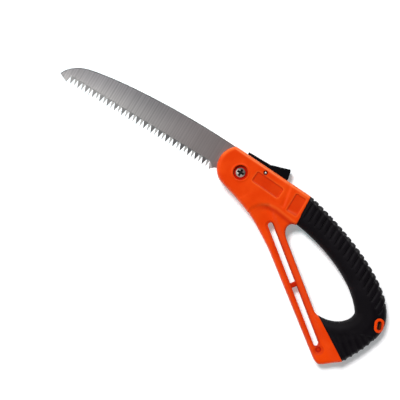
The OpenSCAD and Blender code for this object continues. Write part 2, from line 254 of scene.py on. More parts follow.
class Graph:  # nodes of a material or of the sky
    def __init__(self, tree):
        self.tree = tree

    def node(self, kind, settings, inputs, out=0):
        made = self.tree.nodes.new(kind)
        for key, value in settings.items():
            setattr(made, key, value)
        for key, value in inputs.items():
            self.feed(made.inputs[key], value)
        return Wire(self, made.outputs[out])

    def feed(self, socket, value):
        if isinstance(value, Wire):
            self.tree.links.new(value.socket, socket)
        else:
            socket.default_value = value

    def sine(self, value):
        return self.node("ShaderNodeMath", {"operation": "SINE"}, {0: value})

    def span(self, value, start, end, first=0.0, last=1.0):
        return self.node(
            "ShaderNodeMapRange",
            {"interpolation_type": "SMOOTHSTEP"},
            {"Value": value, "From Min": start, "From Max": end, "To Min": first, "To Max": last},
        )


class Finish(Graph):  # one material
    def __init__(self, name, values):
        self.material = bpy.data.materials.new(name)
        self.material.use_nodes = True
        super().__init__(self.material.node_tree)
        self.shader = self.tree.nodes["Principled BSDF"]
        for socket, value in values.items():
            self.shader.inputs[socket].default_value = value
        self.place = self.node("ShaderNodeTexCoord", {}, {}, "Object")

    def noise(self, scale, detail=2.0, stretch=(1, 1, 1)):  # scale is in spots per metre
        spread = self.node("ShaderNodeVectorMath", {"operation": "MULTIPLY"}, {0: self.place, 1: stretch})
        return self.node("ShaderNodeTexNoise", {}, {"Vector": spread, "Scale": scale, "Detail": detail})

    def axis(self, name):  # a coordinate in metres
        return self.node("ShaderNodeSeparateXYZ", {}, {0: self.place}, name)

    def mark(self, name):
        return self.node("ShaderNodeAttribute", {"attribute_name": name}, {}, "Fac")

    def blend(self, share, a, b):
        return self.node("ShaderNodeMix", {"data_type": "RGBA"}, {0: share, 6: a, 7: b}, 2)

    def bump(self, height, strength, depth):
        normal = self.node("ShaderNodeBump", {}, {"Height": height, "Strength": strength, "Distance": depth})
        self.feed(self.shader.inputs["Normal"], normal)

    def surface(self, **sockets):
        for name, value in sockets.items():
            self.feed(self.shader.inputs[name.replace("_", " ")], value)


# Orange moulded plastic with a fine spark texture, with painted shade in its recesses, where it is also
# duller, and painted highlights on its edges
orangeLook = {
    "main": paint(231, 60, 3),
    "pale": paint(239, 69, 5),
    # painted shade in the recesses, also used for the panels' darker floors
    "deep": paint(170, 5, 0),
    "dark": paint(20, 3, 2),  # painted shade inside the eyelet and the lock pin's well, where the mark passes 1
    "wearAndHighlight": paint(255, 122, 48),  # painted highlight on the head's edges and round the panels
    "rough": 0.34,
    "grain": 2400.0,
    "grainDepth": 0.0002,
}
orange = Finish(
    "orangePlastic",
    {
        "IOR": 1.46,
        "Specular IOR Level": 0.62,
        "Specular Tint": (1, 0.6, 0.3, 1),
        "Sheen Weight": 0.12,
        "Sheen Roughness": 0.4,
        "Sheen Tint": (1, 0.42, 0.08, 1),
    },
)
grain = orange.noise(orangeLook["grain"], 1.0)
cloud = orange.span(orange.noise(45.0, 3.0), 0.35, 0.65)
# The recess mark paints shade, past 1 toward the dark colour; the highlight mark paints highlights on edges
recess = orange.mark("recess")
face = orange.blend(cloud, orangeLook["main"], orangeLook["pale"])
face = orange.blend(orange.mark("edge"), face, orangeLook["wearAndHighlight"])
face = orange.blend(recess, face, orangeLook["deep"])
orange.surface(
    Base_Color=orange.blend(recess - 1.0, face, orangeLook["dark"]),
    Roughness=orangeLook["rough"] + 0.1 * cloud + 0.06 * grain + 0.2 * recess,
)
orange.bump(grain, 0.10, orangeLook["grainDepth"])

# Soft black grip
rubberLook = {
    "main": paint(11, 8, 12),
    "wearAndHighlight": paint(17, 14, 18),
    "rough": 0.34,
    "rimRough": 0.3,  # more on the side of the fingers
    "grain": 1900.0,
    "grainDepth": 0.0002,
}
rubber = Finish("blackRubber", {"IOR": 1.45, "Specular IOR Level": 0.2})
grain = rubber.noise(rubberLook["grain"], 2.0)
cloud = rubber.noise(70.0, 3.0)
rubber.surface(
    Base_Color=rubber.blend(rubber.span(cloud, 0.4, 0.7), rubberLook["main"], rubberLook["wearAndHighlight"]),
    Roughness=rubberLook["rough"] + 0.1 * grain + rubberLook["rimRough"] * rubber.mark("rim"),
)
rubber.bump(grain, 0.16, rubberLook["grainDepth"])

# Satin blade steel, ground across its width
steelLook = {
    "back": (paint(173, 171, 174), paint(202, 199, 202)),  # by the spine
    "teeth": (paint(209, 206, 205), paint(238, 235, 234)),  # by the teeth
    "heel": paint(230, 214, 212),  # a warm gleam by the handle
    "nose": paint(120, 119, 119),
    "spine": (0.01958, -0.07857, -0.65899),  # the spine's height as a curve in x, in metres
    "rough": 0.36,
    "scratchDepth": 0.0001,
}
steel = Finish("groundSteel", {"Metallic": 1.0})
x, y = steel.axis("X"), steel.axis("Y")
fine = steel.span(steel.noise(1000.0, 2.0, (1, 0.01, 1)), 0.25, 0.75)
haze = steel.noise(30.0, 2.0)
drift = 7.0 * steel.noise(70.0, 2.0, (1, 0.04, 1))
broad = steel.noise(420.0, 1.0, (1, 0.02, 1)) - 0.5
lines = 0.5 + 0.18 * steel.sine(1180.0 * x + drift)
lines = lines + 0.36 * steel.sine(2350.0 * x + 2.0 * drift)
grain = 0.75 * lines + 0.3 * fine + 0.9 * broad
level, slope, bend = steelLook["spine"]
spineHeight = level + x * (slope + bend * x)
# Lighter toward the teeth; painted light makes the plate lighter toward the tip
toTeeth = steel.span(spineHeight - y, 0.0, 0.024) * steel.span(x, -0.02, -0.15, 0.5, 1.0)
spineTone, toothTone = (steel.blend(grain, *steelLook[place]) for place in ("back", "teeth"))
plate = steel.blend(toTeeth + 0.1 * (haze - 0.5), spineTone, toothTone)
# Painted shade at the very nose
plate = steel.blend(steel.span(x, -0.17, -0.215, 0.0, 0.25), plate, steelLook["nose"])
steel.surface(
    Base_Color=steel.blend(steel.span(x, -0.13, -0.03, 0.0, 0.58), plate, steelLook["heel"]),
    Roughness=steelLook["rough"] + 0.08 * haze,
)
steel.bump(fine, 0.06, steelLook["scratchDepth"])

# The blade's back edge and rims: dull steel, painted dark as shade
edgeLook = {"main": paint(50, 49, 50), "pale": paint(76, 75, 74)}
edgeSteel = Finish("shadedEdge", {"Metallic": 1.0, "Roughness": 0.5})
scuff = edgeSteel.noise(500.0)
edgeSteel.surface(Base_Color=edgeSteel.blend(scuff, edgeLook["main"], edgeLook["pale"]))

# Ground tooth facets: one way they lie in the shade, the other way they catch the light
facetLook = {
    "shaded": (paint(170, 169, 170), paint(226, 225, 224)),  # by the handle and by the tip
    "lit": (paint(152, 151, 149), paint(163, 162, 160)),
}
shadedFacet = Finish("shadedFacet", {"Metallic": 0.9, "Roughness": 0.4})
litFacet = Finish("litFacet", {"Metallic": 0.5, "Roughness": 0.35})
for finish, shades in ((shadedFacet, facetLook["shaded"]), (litFacet, facetLook["lit"])):
    # Painted light: both facets are paler toward the tip
    tipward = finish.span(finish.axis("X"), -0.05, -0.18)
    scratch = 0.3 * (finish.noise(1400.0, 2.0, (1, 0.1, 1)) - 0.5)
    finish.surface(Base_Color=finish.blend(tipward + scratch, *shades))

# Bright plated fasteners, painted dark where their recess mark is: shade in the pivot screw's cross, a dark
# reflection on one side of its head and shade round the lock pin's rim
brightLook = {
    "main": paint(243, 239, 228),
    "dull": paint(204, 199, 189),
    # painted shade and painted dark reflection
    "deep": paint(14, 12, 12),
    "rough": 0.2,
    "metal": 0.6,
}
bright = Finish("brightSteel", {})
scuff = bright.noise(700.0, 3.0)
recess = bright.mark("recess")
plating = bright.blend(bright.span(scuff, 0.35, 0.75), brightLook["main"], brightLook["dull"])
bright.surface(
    Base_Color=bright.blend(recess, plating, brightLook["deep"]),
    Roughness=brightLook["rough"] + 0.18 * scuff + 0.3 * recess,
    Metallic=brightLook["metal"] * (1.0 - recess),
)
bright.bump(scuff, 0.05, 0.0001)

# Matt black lever
leverLook = {"main": paint(5, 4, 7), "pale": paint(9, 8, 11), "rough": 0.42}
leverBlack = Finish("blackLever", {"IOR": 1.46, "Specular IOR Level": 0.14})
grain = leverBlack.noise(2600.0, 1.0)
leverBlack.surface(
    Base_Color=leverBlack.blend(leverBlack.noise(90.0, 3.0), leverLook["main"], leverLook["pale"]),
    Roughness=leverLook["rough"] + 0.1 * grain,
)
leverBlack.bump(grain, 0.12, 0.0002)
print("finishes made")

# Handle outlines, counterclockwise seen from the front. They run on past the seams, which cut them.
lowSeamIn, lowSeamOut = low(-47.7, 22.4), bottom(28.6)
guardSide = handle["guardSide"]
headOutline = (
    [(84, -17), (84, 17.0), (30, 19.2), (-14, 21)]
    + arc((-4, 3), 23, 128, 255)
    + curve((4, -22.9), (12, -25.1), (20, -27.2), (28, -30.4))
    + curve((28, -30.4), (33, -18), (42, -12), (56, -14))
    + [(56, -14), (76, -16.3)]
)
guardOutline = (
    curve((12, -24), (31.4, -30.8), (41.4, -36.6), along(85, -0.7))
    + [along(85, -0.7)]
    + curve(low(-10, 1.8), low(1.5, 2.2), bottom(3), bottom(16))
    + [bottom(16), bottom(38), low(-30, 38), low(-40, 27.3)]
    + curve(low(-46.5, 23.2), low(-49, 21.4), low(-51, guardSide), low(-54, guardSide), 8)
    + curve(along(84, guardSide), along(71, guardSide), (69.6, -19.5), (77.8, -15.7))
    + [(77.8, -15.7), (78, -6), (20, -10)]
)
gripInner = curve((79.5, -15.5), (122, -20.5), low(-63.5, 69), low(-35.4, 60.3)) + curve(
    low(-35.4, 60.3), low(-26, 52.2), low(-32.7, 32), lowSeamIn
)
gripOuter = curve(bottom(31), low(4.6, 48.6), low(1.8, 66.6), low(-9.2, 80.9)) + curve(
    low(-9.2, 80.9), low(-37.5, 113.4), (118, 9), seam(17.4)
)
gripOutline = [(66, -14.6)] + gripInner + [lowSeamIn, low(-58, 16), bottom(20)] + gripOuter
gripOutline += [seam(17.4), (66, 18.2)]
joinAt = [(67, 2), (62, -20.5), low(-13.5, 25), (118, -9), low(-34, 74.4)]  # the shell screws
lockAt = (22.5, 13.4)
springAt = 38.0  # along x
eyeletAt = low(-14.9, 77.9)

gripLook = {
    "step": 0.45,
    "top": 11.4,
    "round": 5.6,
    "innerRound": 9.5,
    "pitch": 7.03,  # of the ribs along the outer edge
    "firstCrest": 87.0,
    "depth": 1.7,
    "raise": 0.5,  # how far their crests stand out
    "drop": 0.16,  # share of the pitch that the steep side takes
    "ribEnds": ((79, 100, 120, 140, 160, 180, 200), (-6.5, -8, -12, -19, -28.5, -40, -51)),
    "lowPitch": 7.0,  # of the ribs across the lower end
    "lowCrest": 67.6,
    "lowDepth": 1.3,
    "lowEnds": ((31, 58, 66), (193, 204, 209)),
    "hollow": (3.3, 9.4, 3.0),  # for the core: how far it stays in, its top and its round edge
    "eyelet": 5.3,
    "seamGap": 0.1,
}


def fingerSide(block):  # 1 on the side of the fingers
    return ease(block.toLine(gripOuter) - block.toLine(gripInner), -6, 6)


def gripBody(block, grip2):  # rounder on the side of the fingers
    inner = fingerSide(block)
    radius = gripLook["round"] + (gripLook["innerRound"] - gripLook["round"]) * inner
    return roundTop(grip2[..., None], block.z - gripLook["top"], radius[..., None])


def eyeletSide(grip2, z):  # keeps the eyelet's ring behind the rubber at the handle's side
    return grip2[..., None] + 1.2 - 1.8 * ease(z, 7, 9)


def eyeletLine():
    a = math.radians(handle["eyeletTurn"])
    half = handle["eyelet"] / 2 * np.array([math.cos(a), math.sin(a)])
    return [eyeletAt - half, eyeletAt + half]


def lowSeam(block):  # distance past the lower seam, toward the grip
    across = (lowSeamOut - lowSeamIn) / np.linalg.norm(lowSeamOut - lowSeamIn)
    return (block.x - lowSeamIn[0]) * -across[1] + (block.y - lowSeamIn[1]) * across[0]


def headSeam(block):  # distance past the upper seam, toward the grip
    return (block.x - seam(block.y)[0]) * 0.998  # the slant's cosine


shellLook = {
    "step": 0.5,
    "headTop": 11.5,
    "headRound": 4.4,
    "guardTop": 8.3,
    "guardRound": 3.6,
    "highest": 11.9,
    "valley": (54.6, 0.2),  # where the shallow valley crosses the face, and its slant
    "squarePanel": ((67.4, 1.6), (12.0, 20.6), 0.0, 1.5),  # centre, size, turn and corner
    "longPanel": ((31, 3.9), (32.5, 11.7), -3.2, 1.8),
    "sunk": 1.15,  # depth of the panels
    "windowSide": 10.0,
    "windowEnds": (63.0, 196.6),  # both windows, along the folded blade
    "window": 2.9,  # their half width
    "track": ((63.0, 9.2), (202.8, 9.8)),  # the sunk track that they lie in
    "trackSunk": 0.8,
    "bridgeAt": 130.25,  # between the windows
    "bridgeHalf": 2.3,
    "bridgeTop": 5.4,
    "pocketAt": (202.6, 9.7),
    "pocket": 3.0,
    "pocketFloor": 6.2,
    "core": (3.4, 9.3, 3.0),  # under the grip: how far it stays in, its top and its round edge
    "eyeletRing": 5.2,
    "eyeletHole": 1.8,
    "tangRoom": 16.8,
    "slit": 1.56,  # half height of the room for the blade in the head
    "channel": 3.0,  # and in the guard
    "channelSide": 14.7,
    "leverRoom": 4.4,
    "leverTurn": 5.0,  # room round the lock pin
    "springRoom": 3.4,
    "springFloor": 7.6,
    "wellFloor": 7.8,
    "lip": 1.2,
    "lipTop": 10.75,
    "pinFloor": 10.2,
    "pinHole": 1.52,
    "screwWell": 3.6,
    "screwFloor": 5.8,
    "partingGap": 0.05,
}
frontLook = {"well": 7.8, "bore": 2.9, "pinWell": 2.3, "pinEnd": 12}  # where the two halves differ
backLook = {"well": 6.6, "bore": 4.02, "pinWell": 1.1, "pinEnd": 9}
shadeLook = {  # how much painted shade darkens the recesses, and how much darker the panels' floors are: 1 is the deep orange, 2 the dark one
    "arch": 0.55,
    "track": 0.28,
    "windows": 0.5,
    "pocketRim": 0.34,
    "bladeSide": 0.3,
    "panel": 0.28,
    "panelRim": 0.22,
    "well": 0.95,
    "pinWell": 1.6,
    "pocket": 0.9,
    "bridge": 0.5,
    "eyelet": 2.0,
    "headHighlight": 0.6,  # and how much painted highlight the edges get
    "archHighlight": 0.3,
    "panelHighlight": 0.3,
}


def sunk(distance):  # 1 within a recess, with a soft wall
    return 1 - ease(distance, -0.35, 0.3)


def shellShade(block, well, head2, guard2, panels, track, slot, bridge, pocket, eye):
    # Painted shade in the recesses, darker panel floors, and painted highlights on the edges
    look, s, t, y = shadeLook, block.s, block.t, block.y
    arch = ease(block.x, 30, 44)
    # Painted shadow under the head's lower edge, and painted shade in the track, along the windows, round the
    # pocket and along the guard's blade side
    shade = look["arch"] * bell(head2 - 1.9, 2.2) * arch
    shade = shade + look["track"] * track + look["windows"] * ease(slot, 0.7, -0.2)
    shade = shade + look["pocketRim"] * bell(pocket - 2.2, 0.8) * ease(s, 199, 202)
    shade = shade + look["bladeSide"] * bell(guard2 + 0.8, 1.3) * ease(t, 8, 3) * ease(s, 90, 150)
    # Painted highlights along the head's top edge and above the arch
    edge = look["headHighlight"] * ease(y, -2, 10) + look["archHighlight"] * arch * ease(y, 0, -8)
    edge = edge * bell(head2 + 1.5, 1.5)
    # Panels: darker floors, painted shade along their inner walls and a painted highlight just outside them
    for panel in panels:
        shade = shade + look["panel"] * sunk(panel) + look["panelRim"] * bell(panel + 0.3, 0.6)
        edge = edge + look["panelHighlight"] * bell(panel - 0.9, 0.6)
    shade = np.clip(shade, 0, 1)
    # Painted shade in the pivot well, the lock pin's well, the pocket, over the bridge and in the eyelet
    for depth, inner in (
        (look["well"], ease(block.ring((0, 0)), well + 0.1, well - 0.3)),
        (look["pinWell"], ease(block.ring(lockAt), 2.55, 2.15)),
        (look["pocket"], ease(pocket, 0.7, -0.2) * (1 - 0.35 * ease(pocket, -1, -2.4))),
        (look["bridge"], ease(bridge, 2.6, 2.2) * ease(slot, 0.3, 0)),
        (look["eyelet"], ease(eye, 2.65, 1.85)),
    ):
        shade = np.maximum(shade, depth * inner)
    return shade, np.clip(edge, 0, 1)


def shellField(block, front):
    look, half = shellLook, frontLook if front else backLook
    z, s, t = block.z, block.s, block.t
    head2, guard2, grip2 = (block.outline(line) for line in (headOutline, guardOutline, gripOutline))
    panels = [block.panel(*look[name]) for name in ("squarePanel", "longPanel")[: 2 if front else 1]]

    # The head's face, with its valley and sunk panels
    start, slant = look["valley"]
    valley = (block.x - start + slant * block.y) * 0.98
    top = look["headTop"] - 0.55 * bell(valley, 2.2) + 0.35 * ease(valley, -1, 3)
    for panel in panels:
        top = top - look["sunk"] * sunk(panel)
    head = roundTop(head2[..., None], z - top[..., None], look["headRound"])
    head = meet(head, headSeam(block)[..., None] + 0.05, 0.7)

    # The guard arm, which rises to the head and to the lower seam, with a track sunk along the windows
    slot = block.toLine([along(place, look["windowSide"]) for place in look["windowEnds"]]) - look["window"]
    track = block.toLine([along(*place) for place in look["track"]]) - look["window"]
    track = 1 - ease(track, 1.5, 2.4)
    pastSeam = lowSeam(block)
    arm = look["guardTop"] + 2.9 * ease(s, 66, 28) * ease(t, 16, -6)
    arm = arm + 3.5 * ease(-pastSeam, 12, 0.5) * ease(t, 14, 19) - look["trackSunk"] * track
    guard = roundTop(guard2[..., None], z - arm[..., None], look["guardRound"])
    beyond = np.maximum(-0.05 - pastSeam, 152 - s)
    guard = cut(guard, beyond[..., None] + 0 * z, 0.7)
    shell = meet(join(head, guard, 2.4), z - look["highest"], 0.4)

    # Core under the grip, and the eyelet's orange ring
    eye = block.toLine(eyeletLine())
    inset, coreTop, coreRound = look["core"]
    shell = np.minimum(shell, roundTop(grip2[..., None] + inset, z - coreTop, coreRound))
    ring = np.maximum(eye[..., None] - look["eyeletRing"], gripBody(block, grip2) - 0.35)
    shell = np.minimum(shell, np.maximum(ring, eyeletSide(grip2, z)))
    shell = cut(shell, eye[..., None] - look["eyeletHole"] + 0 * z, 1.3)

    # Windows, the lower bridge between them and the pocket past their end
    bridge = np.abs(s - look["bridgeAt"])
    shell = cut(shell, np.maximum(slot[..., None], look["bridgeTop"] - z), 0.7)
    shell = cut(shell, np.maximum(slot, look["bridgeHalf"] - bridge)[..., None] + 0 * z, 0.5)
    pocket = block.ring(along(*look["pocketAt"])) - look["pocket"]
    shell = cut(shell, np.maximum(pocket[..., None], look["pocketFloor"] - z), 1.0)

    # Room for the blade, the lever and its spring
    side = look["channelSide"]
    slit = block.outline([along(-90, side), along(-90, -90), along(80, -90), along(80, side)])
    slit = np.minimum(block.ring((0, 0)) - look["tangRoom"], slit)
    slit = np.maximum(slit, -block.box(-10, -4.4, 16.8, 40))
    shell = cut(shell, np.maximum(slit[..., None], z - look["slit"]), 0.25)
    corners = [along(45, side), along(45, -30), low(30, -30), low(30, 2), low(1.3, 4), low(1.3, side)]
    channel = block.outline(corners)
    shell = cut(shell, np.maximum(channel[..., None], z - look["channel"]), 0.5)
    lever = np.minimum(block.box(-4.4, 47.5, 15.03, 60), block.box(-4.4, 2.4, 12.76, 20))
    lever = np.minimum(lever, block.ring(lockAt) - look["leverTurn"])
    shell = cut(shell, np.maximum(lever[..., None], z - look["leverRoom"]), 0.3)
    spring = np.hypot(block.x[..., None] - springAt, z) - look["springRoom"]
    shell = cut(shell, np.maximum(spring, look["springFloor"] - block.y[..., None]), 0.2)

    # Pivot well with its lip, the lock pin's well and, behind, the shell screws' wells
    pivot = block.ring((0, 0))[..., None]
    shell = join(shell, np.hypot(pivot - half["well"] - 0.9, z - look["lipTop"]) - look["lip"], 0.6)
    shell = cut(shell, np.maximum(pivot - half["well"], look["wellFloor"] - z), 0.5)
    shell = cut(shell, pivot - half["bore"] + 0 * z, 0.1)
    pin = block.ring(lockAt)[..., None]
    shell = cut(shell, np.maximum(pin - half["pinWell"], look["pinFloor"] - z), 0.4)
    shell = cut(shell, np.maximum(pin - look["pinHole"], z - half["pinEnd"]), 0.05)
    if not front:
        for place in joinAt:
            well = block.ring(place)[..., None] - look["screwWell"]
            shell = cut(shell, np.maximum(well, look["screwFloor"] - z), 0.4)
    shell = meet(shell, look["partingGap"] - z, 0.5)
    shade, edge = shellShade(block, half["well"], head2, guard2, panels, track, slot, bridge, pocket, eye)
    return shell, shade, edge


def makeShell(name, node, front):
    block = Block((-30, -131, -1), (217, 25, 13.5), shellLook["step"])
    shell, shade, edge = shellField(block, front)
    piece = block.mesh(name, shell, front, recess=shade, edge=edge)
    fit(piece, orange, "handle", node)


makeShell("frontShell", "front_shell", True)
makeShell("backShell", "back_shell", False)


def scallop(phase):  # depth under the crest, which is at phase 0
    phase = phase - np.floor(phase)
    drop = gripLook["drop"]
    slope = (1 - np.clip((phase - drop) / (1 - drop), 0, 1)) ** 3.2
    return np.where(phase < drop, ease(phase, 0, drop), slope)


def flute(phase):  # a hollow between two sharp crests
    return 1 - (2 * (phase - np.floor(phase)) - 1) ** 2


def gripField(block, front):
    look, z = gripLook, block.z
    grip2 = block.outline(gripOutline)
    grip = gripBody(block, grip2)

    # Ribs: along the outer edge, and across the lower end
    ribEnd = np.interp(block.x, *look["ribEnds"])
    upper = ease(block.y, ribEnd - 1.5, ribEnd + 1.5) * ease(block.x, 78, 80) * ease(block.x, 203.5, 201.5)
    lowEnd = np.interp(block.t, *look["lowEnds"])
    lower = ease(block.s, lowEnd - 1.5, lowEnd + 1.5) * ease(block.t, 70, 68.5) * ease(block.t, 28, 31)
    ribs = look["depth"] * scallop((block.x - look["firstCrest"]) / look["pitch"]) - look["raise"]
    lowRibs = look["lowDepth"] * flute((look["lowCrest"] - block.t) / look["lowPitch"])
    grip = grip + (ribs * upper + lowRibs * lower)[..., None]

    # The seams, the hollow for the core, and room for the eyelet's ring and the screws
    for past in (headSeam(block), lowSeam(block)):
        grip = meet(grip, look["seamGap"] - past[..., None] + 0 * z, 0.8)
    inset, coreTop, coreRound = look["hollow"]
    grip = cut(grip, roundTop(grip2[..., None] + inset, z - coreTop, coreRound), 0.1)
    eye = block.toLine(eyeletLine())[..., None]
    grip = cut(grip, np.maximum(eye - look["eyelet"], eyeletSide(grip2, z) - 0.1), 0.4)
    if not front:
        for place in joinAt:
            grip = cut(grip, block.ring(place)[..., None] - shellLook["screwWell"] + 0 * z, 0.5)
    return meet(grip, shellLook["partingGap"] - z, 0.5)


def makeGrip(name, node, front):
    block = Block((74, -116, -1), (217, 21, 13.5), gripLook["step"])
    piece = block.mesh(name, gripField(block, front), front, rim=fingerSide(block))
    fit(piece, rubber, "handle", node)


makeGrip("frontGrip", "front_grip", True)
makeGrip("backGrip", "back_grip", False)

bladeLook = {
    "thick": 1.4,
    "tip": -13.9,  # height of the tooth tips, below the pivot's line
    "gullet": -6.6,
    "gulletInset": 0.25,  # how far a gullet's corners stand in from the tooth's reach
    "root": 1.1,  # how far the ground facets reach above the gullets
    "rootInset": 0.4,
    "heel": -30.5,
    "nose": 9.6,
    "teeth": 39,
    "wide": (2.0, 3.4),  # from the tip of a wide tooth to its gullets, toward the pivot and away
    "narrow": (1.12, 2.52),
    "grind": 0.6,
    "slightGrind": 0.06,  # on a tooth's other side
    "noseGrind": 0.4,
    "spineGrind": 0.35,
    "spineBevel": 0.7,
    "tangRadius": 15.5,
    "bore": 5.56,
}


def notch(degrees):  # the corners of a notch for the lever's nose
    a = math.radians(degrees)
    corners = [(2.0, 15.37), (2.0, 12.76), (-3.6, 12.76), (-3.6, 15.08)]
    return [(x * math.cos(a) - y * math.sin(a), x * math.sin(a) + y * math.cos(a)) for x, y in corners]


def makeBlade():
    look, length = bladeLook, handle["bladeLen"]
    points, ground, kind = [], [], []  # ground: how far below the front and the back face a point lies

    def add(place, front=0.0, back=0.0, what="face"):
        points.append(Vector(place))
        ground.append((front, back))
        kind.append(what)
        return len(points) - 1

    # Spine, with the inner line of its bevel
    spine = curve((-14.8, 20.8), (-85, 24.4), (56 - length, 17.9), (24 - length, 9.6), 60)
    spine += curve((24 - length, 9.6), (14 - length, 7.0), (3.5 - length, 0.5), (-length, -9.6), 24)
    spine.append(np.array((-length, -9.6)))
    loop = [add(p, look["spineGrind"], look["spineGrind"], "spine") for p in spine]
    bevel = []
    for before, at, after in zip([spine[0]] + spine[:-1], spine, spine[1:] + [spine[-1]]):
        run = (after - before) / np.linalg.norm(after - before)
        bevel.append(add(at + look["spineBevel"] * np.array((-run[1], run[0])), 0, 0, "bevel"))
    nose = (look["nose"] - length, look["tip"])
    loop.append(add(nose, look["noseGrind"], look["noseGrind"], "tooth"))

    # Teeth: in front, wide ones are ground on the pivot's side and narrow ones on the far side.
    # Behind, it is the other way round.
    deep, slight = look["grind"] - 0.05, look["slightGrind"]
    gullet, root = look["gullet"], look["gullet"] + look["root"]
    step = (length - look["nose"] + look["heel"]) / look["teeth"]
    lines = {0: [], 1: []}
    for i in range(look["teeth"] - 1, -1, -1):
        x = look["heel"] - i * step
        wide = i % 2 == 0
        near, far = look["wide"] if wide else look["narrow"]
        sides = (slight, deep) if wide else (deep, slight)
        rootFar = add((x - far + look["rootInset"], root), 0, 0, "root")
        farPoint = add((x - far + look["gulletInset"], gullet), *sides, "tooth")
        tip = add((x, look["tip"]), look["grind"], look["grind"], "tooth")
        loop += [farPoint, tip]
        if i == 0:
            for side in lines:
                lines[side] += [(rootFar, farPoint), (rootFar, tip)]
            break
        nearPoint = add((x + near - look["gulletInset"], gullet), *sides[::-1], "tooth")
        rootNear = add((x + near - look["rootInset"], root), 0, 0, "root")
        loop.append(nearPoint)
        for side in lines:
            lines[side] += [(rootFar, farPoint), (rootFar, rootNear), (rootNear, nearPoint)]
            lines[side].append((rootFar if wide == (side == 0) else rootNear, tip))

    # Heel and tang
    radius = look["tangRadius"]
    rest = [(-28.1, -11.2), (-26.2, -9.5), (-23.5, -8.45), (-13.22, -8.09)]
    rest += arc((0, 0), radius, 213, 300, 20) + notch(-handle["foldAngle"])
    rest += arc((0, 0), radius, 321.5, 442, 28) + notch(0)
    rest += arc((0, 0), radius, 104, 157, 12) + [(-14.8, 6.0)]
    loop += [add(p) for p in rest]
    bore = [add(p) for p in arc((0, 0), look["bore"], 0, 360, 48)[:-1]]

    rings = list(zip(loop, loop[1:] + loop[:1])) + list(zip(bore, bore[1:] + bore[:1]))
    places, faces, finishes = [], [], []
    plain, dull, shaded, lit = range(4)
    for side in (0, 1):
        edges = rings + list(zip(bevel[:-1], bevel[1:])) + lines[side]
        corners, _, triangles, origins, _, _ = delaunay_2d_cdt(points, edges, [], 1, 1e-5)
        for triangle in triangles:
            centre = sum((corners[k] for k in triangle), Vector((0, 0))) / 3
            if centre.length < look["bore"]:
                continue
            ids = [origins[k][0] for k in triangle]
            kinds = {kind[k] for k in ids}
            ids = ids if side == 0 else ids[::-1]
            faces.append([k + side * len(points) for k in ids])
            if kinds <= {"spine", "bevel"}:
                finishes.append(dull)
            elif "tooth" in kinds and kinds <= {"tooth", "root"}:
                tip = min((points[k] for k in ids), key=lambda q: q.y)
                wide = round((look["heel"] - tip.x) / step) % 2 == 0
                finishes.append(shaded if wide == (side == 0) else lit)
            else:
                finishes.append(plain)
    for a, b in rings:
        faces.append([a, a + len(points), b + len(points), b])
        finishes.append(dull)
    half = look["thick"] / 2
    for side in (0, 1):
        for place, depth in zip(points, ground):
            height = half - depth[0] if side == 0 else depth[1] - half
            places.append((place.x, place.y, handle["mid"] + height))
    piece = newPiece("sawBlade", places, faces)
    for finish in (steel, edgeSteel, shadedFacet, litFacet):  # in the order of plain, dull, shaded and lit
        piece.data.materials.append(finish.material)
    piece.data.polygons.foreach_set("material_index", finishes)
    shape = bmesh.new()
    shape.from_mesh(piece.data)
    bmesh.ops.recalc_face_normals(shape, faces=shape.faces)
    shape.to_mesh(piece.data)
    shape.free()
    piece.visible_shadow = False  # none falls on the floor under it
    fit(piece, None, "blade", "blade")


makeBlade()

screwLook = {
    "step": 0.13,
    "headRadius": 5.15,
    "headLow": 7.85,
    "headTop": 11.15,
    "headRound": 0.9,
    "dome": 0.05,
    "cross": (1.1, 4.2, 0.55, 8.6),  # half width and reach of its arms, their taper and the floor
    "shank": 2.45,
    "shankEnds": (-7.9, 7.9),
    "paintedReflectionSide": (0.23, 0.97),  # a dark reflection is painted on this side of the head
    "paintedReflection": 0.85,
}
nutLook = {
    "step": 0.15,
    "headRadius": 6.15,
    "headLow": 7.85,
    "headTop": 10.3,
    "headRound": 0.8,
    "barrel": 3.97,
    "barrelEnds": (-6.75, 8.5),
    "bore": 2.58,
    "slot": 0.7,  # half width of the driver's slot
    "slotFloor": 9.0,
}
pinLook = {"step": 0.13, "radius": 1.47, "low": -8.9, "top": 11.1, "round": 1.4}
shellScrewLook = {
    "step": 0.16,
    "headRadius": 3.15,
    "headLow": 5.85,
    "headTop": 8.05,
    "headRound": 0.6,
    "dome": 0.02,
    "cross": (0.45, 1.9, 0.0, 6.9),
    "shank": 1.7,
    "shankEnds": (-6, 6.2),
}


def cross(block, half, reach, taper, floor):  # a cross recess whose arms taper inward
    arms = []
    for u, v in ((block.x, block.y), (block.y, block.x)):
        end = np.abs(u)[..., None] - reach + taper * np.maximum(0, screwLook["headTop"] - block.z)
        arms.append(np.maximum(np.maximum(np.abs(v)[..., None] - half, end), floor - block.z))
    return np.minimum(*arms)


def shank(block, radius, lowest, highest):
    reach = block.ring((0, 0))[..., None]
    return np.maximum(reach - radius, np.maximum(block.z - highest, lowest - block.z))


def makePivotScrew():
    look = screwLook
    block = Block((-5.6, -5.6, -8.2), (5.6, 5.6, 11.7), look["step"])
    z, reach = block.z, block.ring((0, 0))
    dome = look["headTop"] - look["dome"] * reach**2
    screw = roundTop(reach[..., None] - look["headRadius"], z - dome[..., None], look["headRound"])
    screw = np.maximum(screw, look["headLow"] - z)
    recess = cross(block, *look["cross"])
    screw = np.minimum(cut(screw, recess, 0.2), shank(block, look["shank"], *look["shankEnds"]))
    # Painted shade in the cross, and a painted dark reflection on one side of the head
    side = block.x * look["paintedReflectionSide"][0] + block.y * look["paintedReflectionSide"][1]
    paintedReflection = look["paintedReflection"] * ease(side, -0.2, 2.4)
    shade = np.maximum(ease(recess, 0.3, 0.08), paintedReflection[..., None])
    piece = block.mesh("pivotScrew", screw, recess=shade)
    fit(piece, bright, "handle", "pivot_screw")


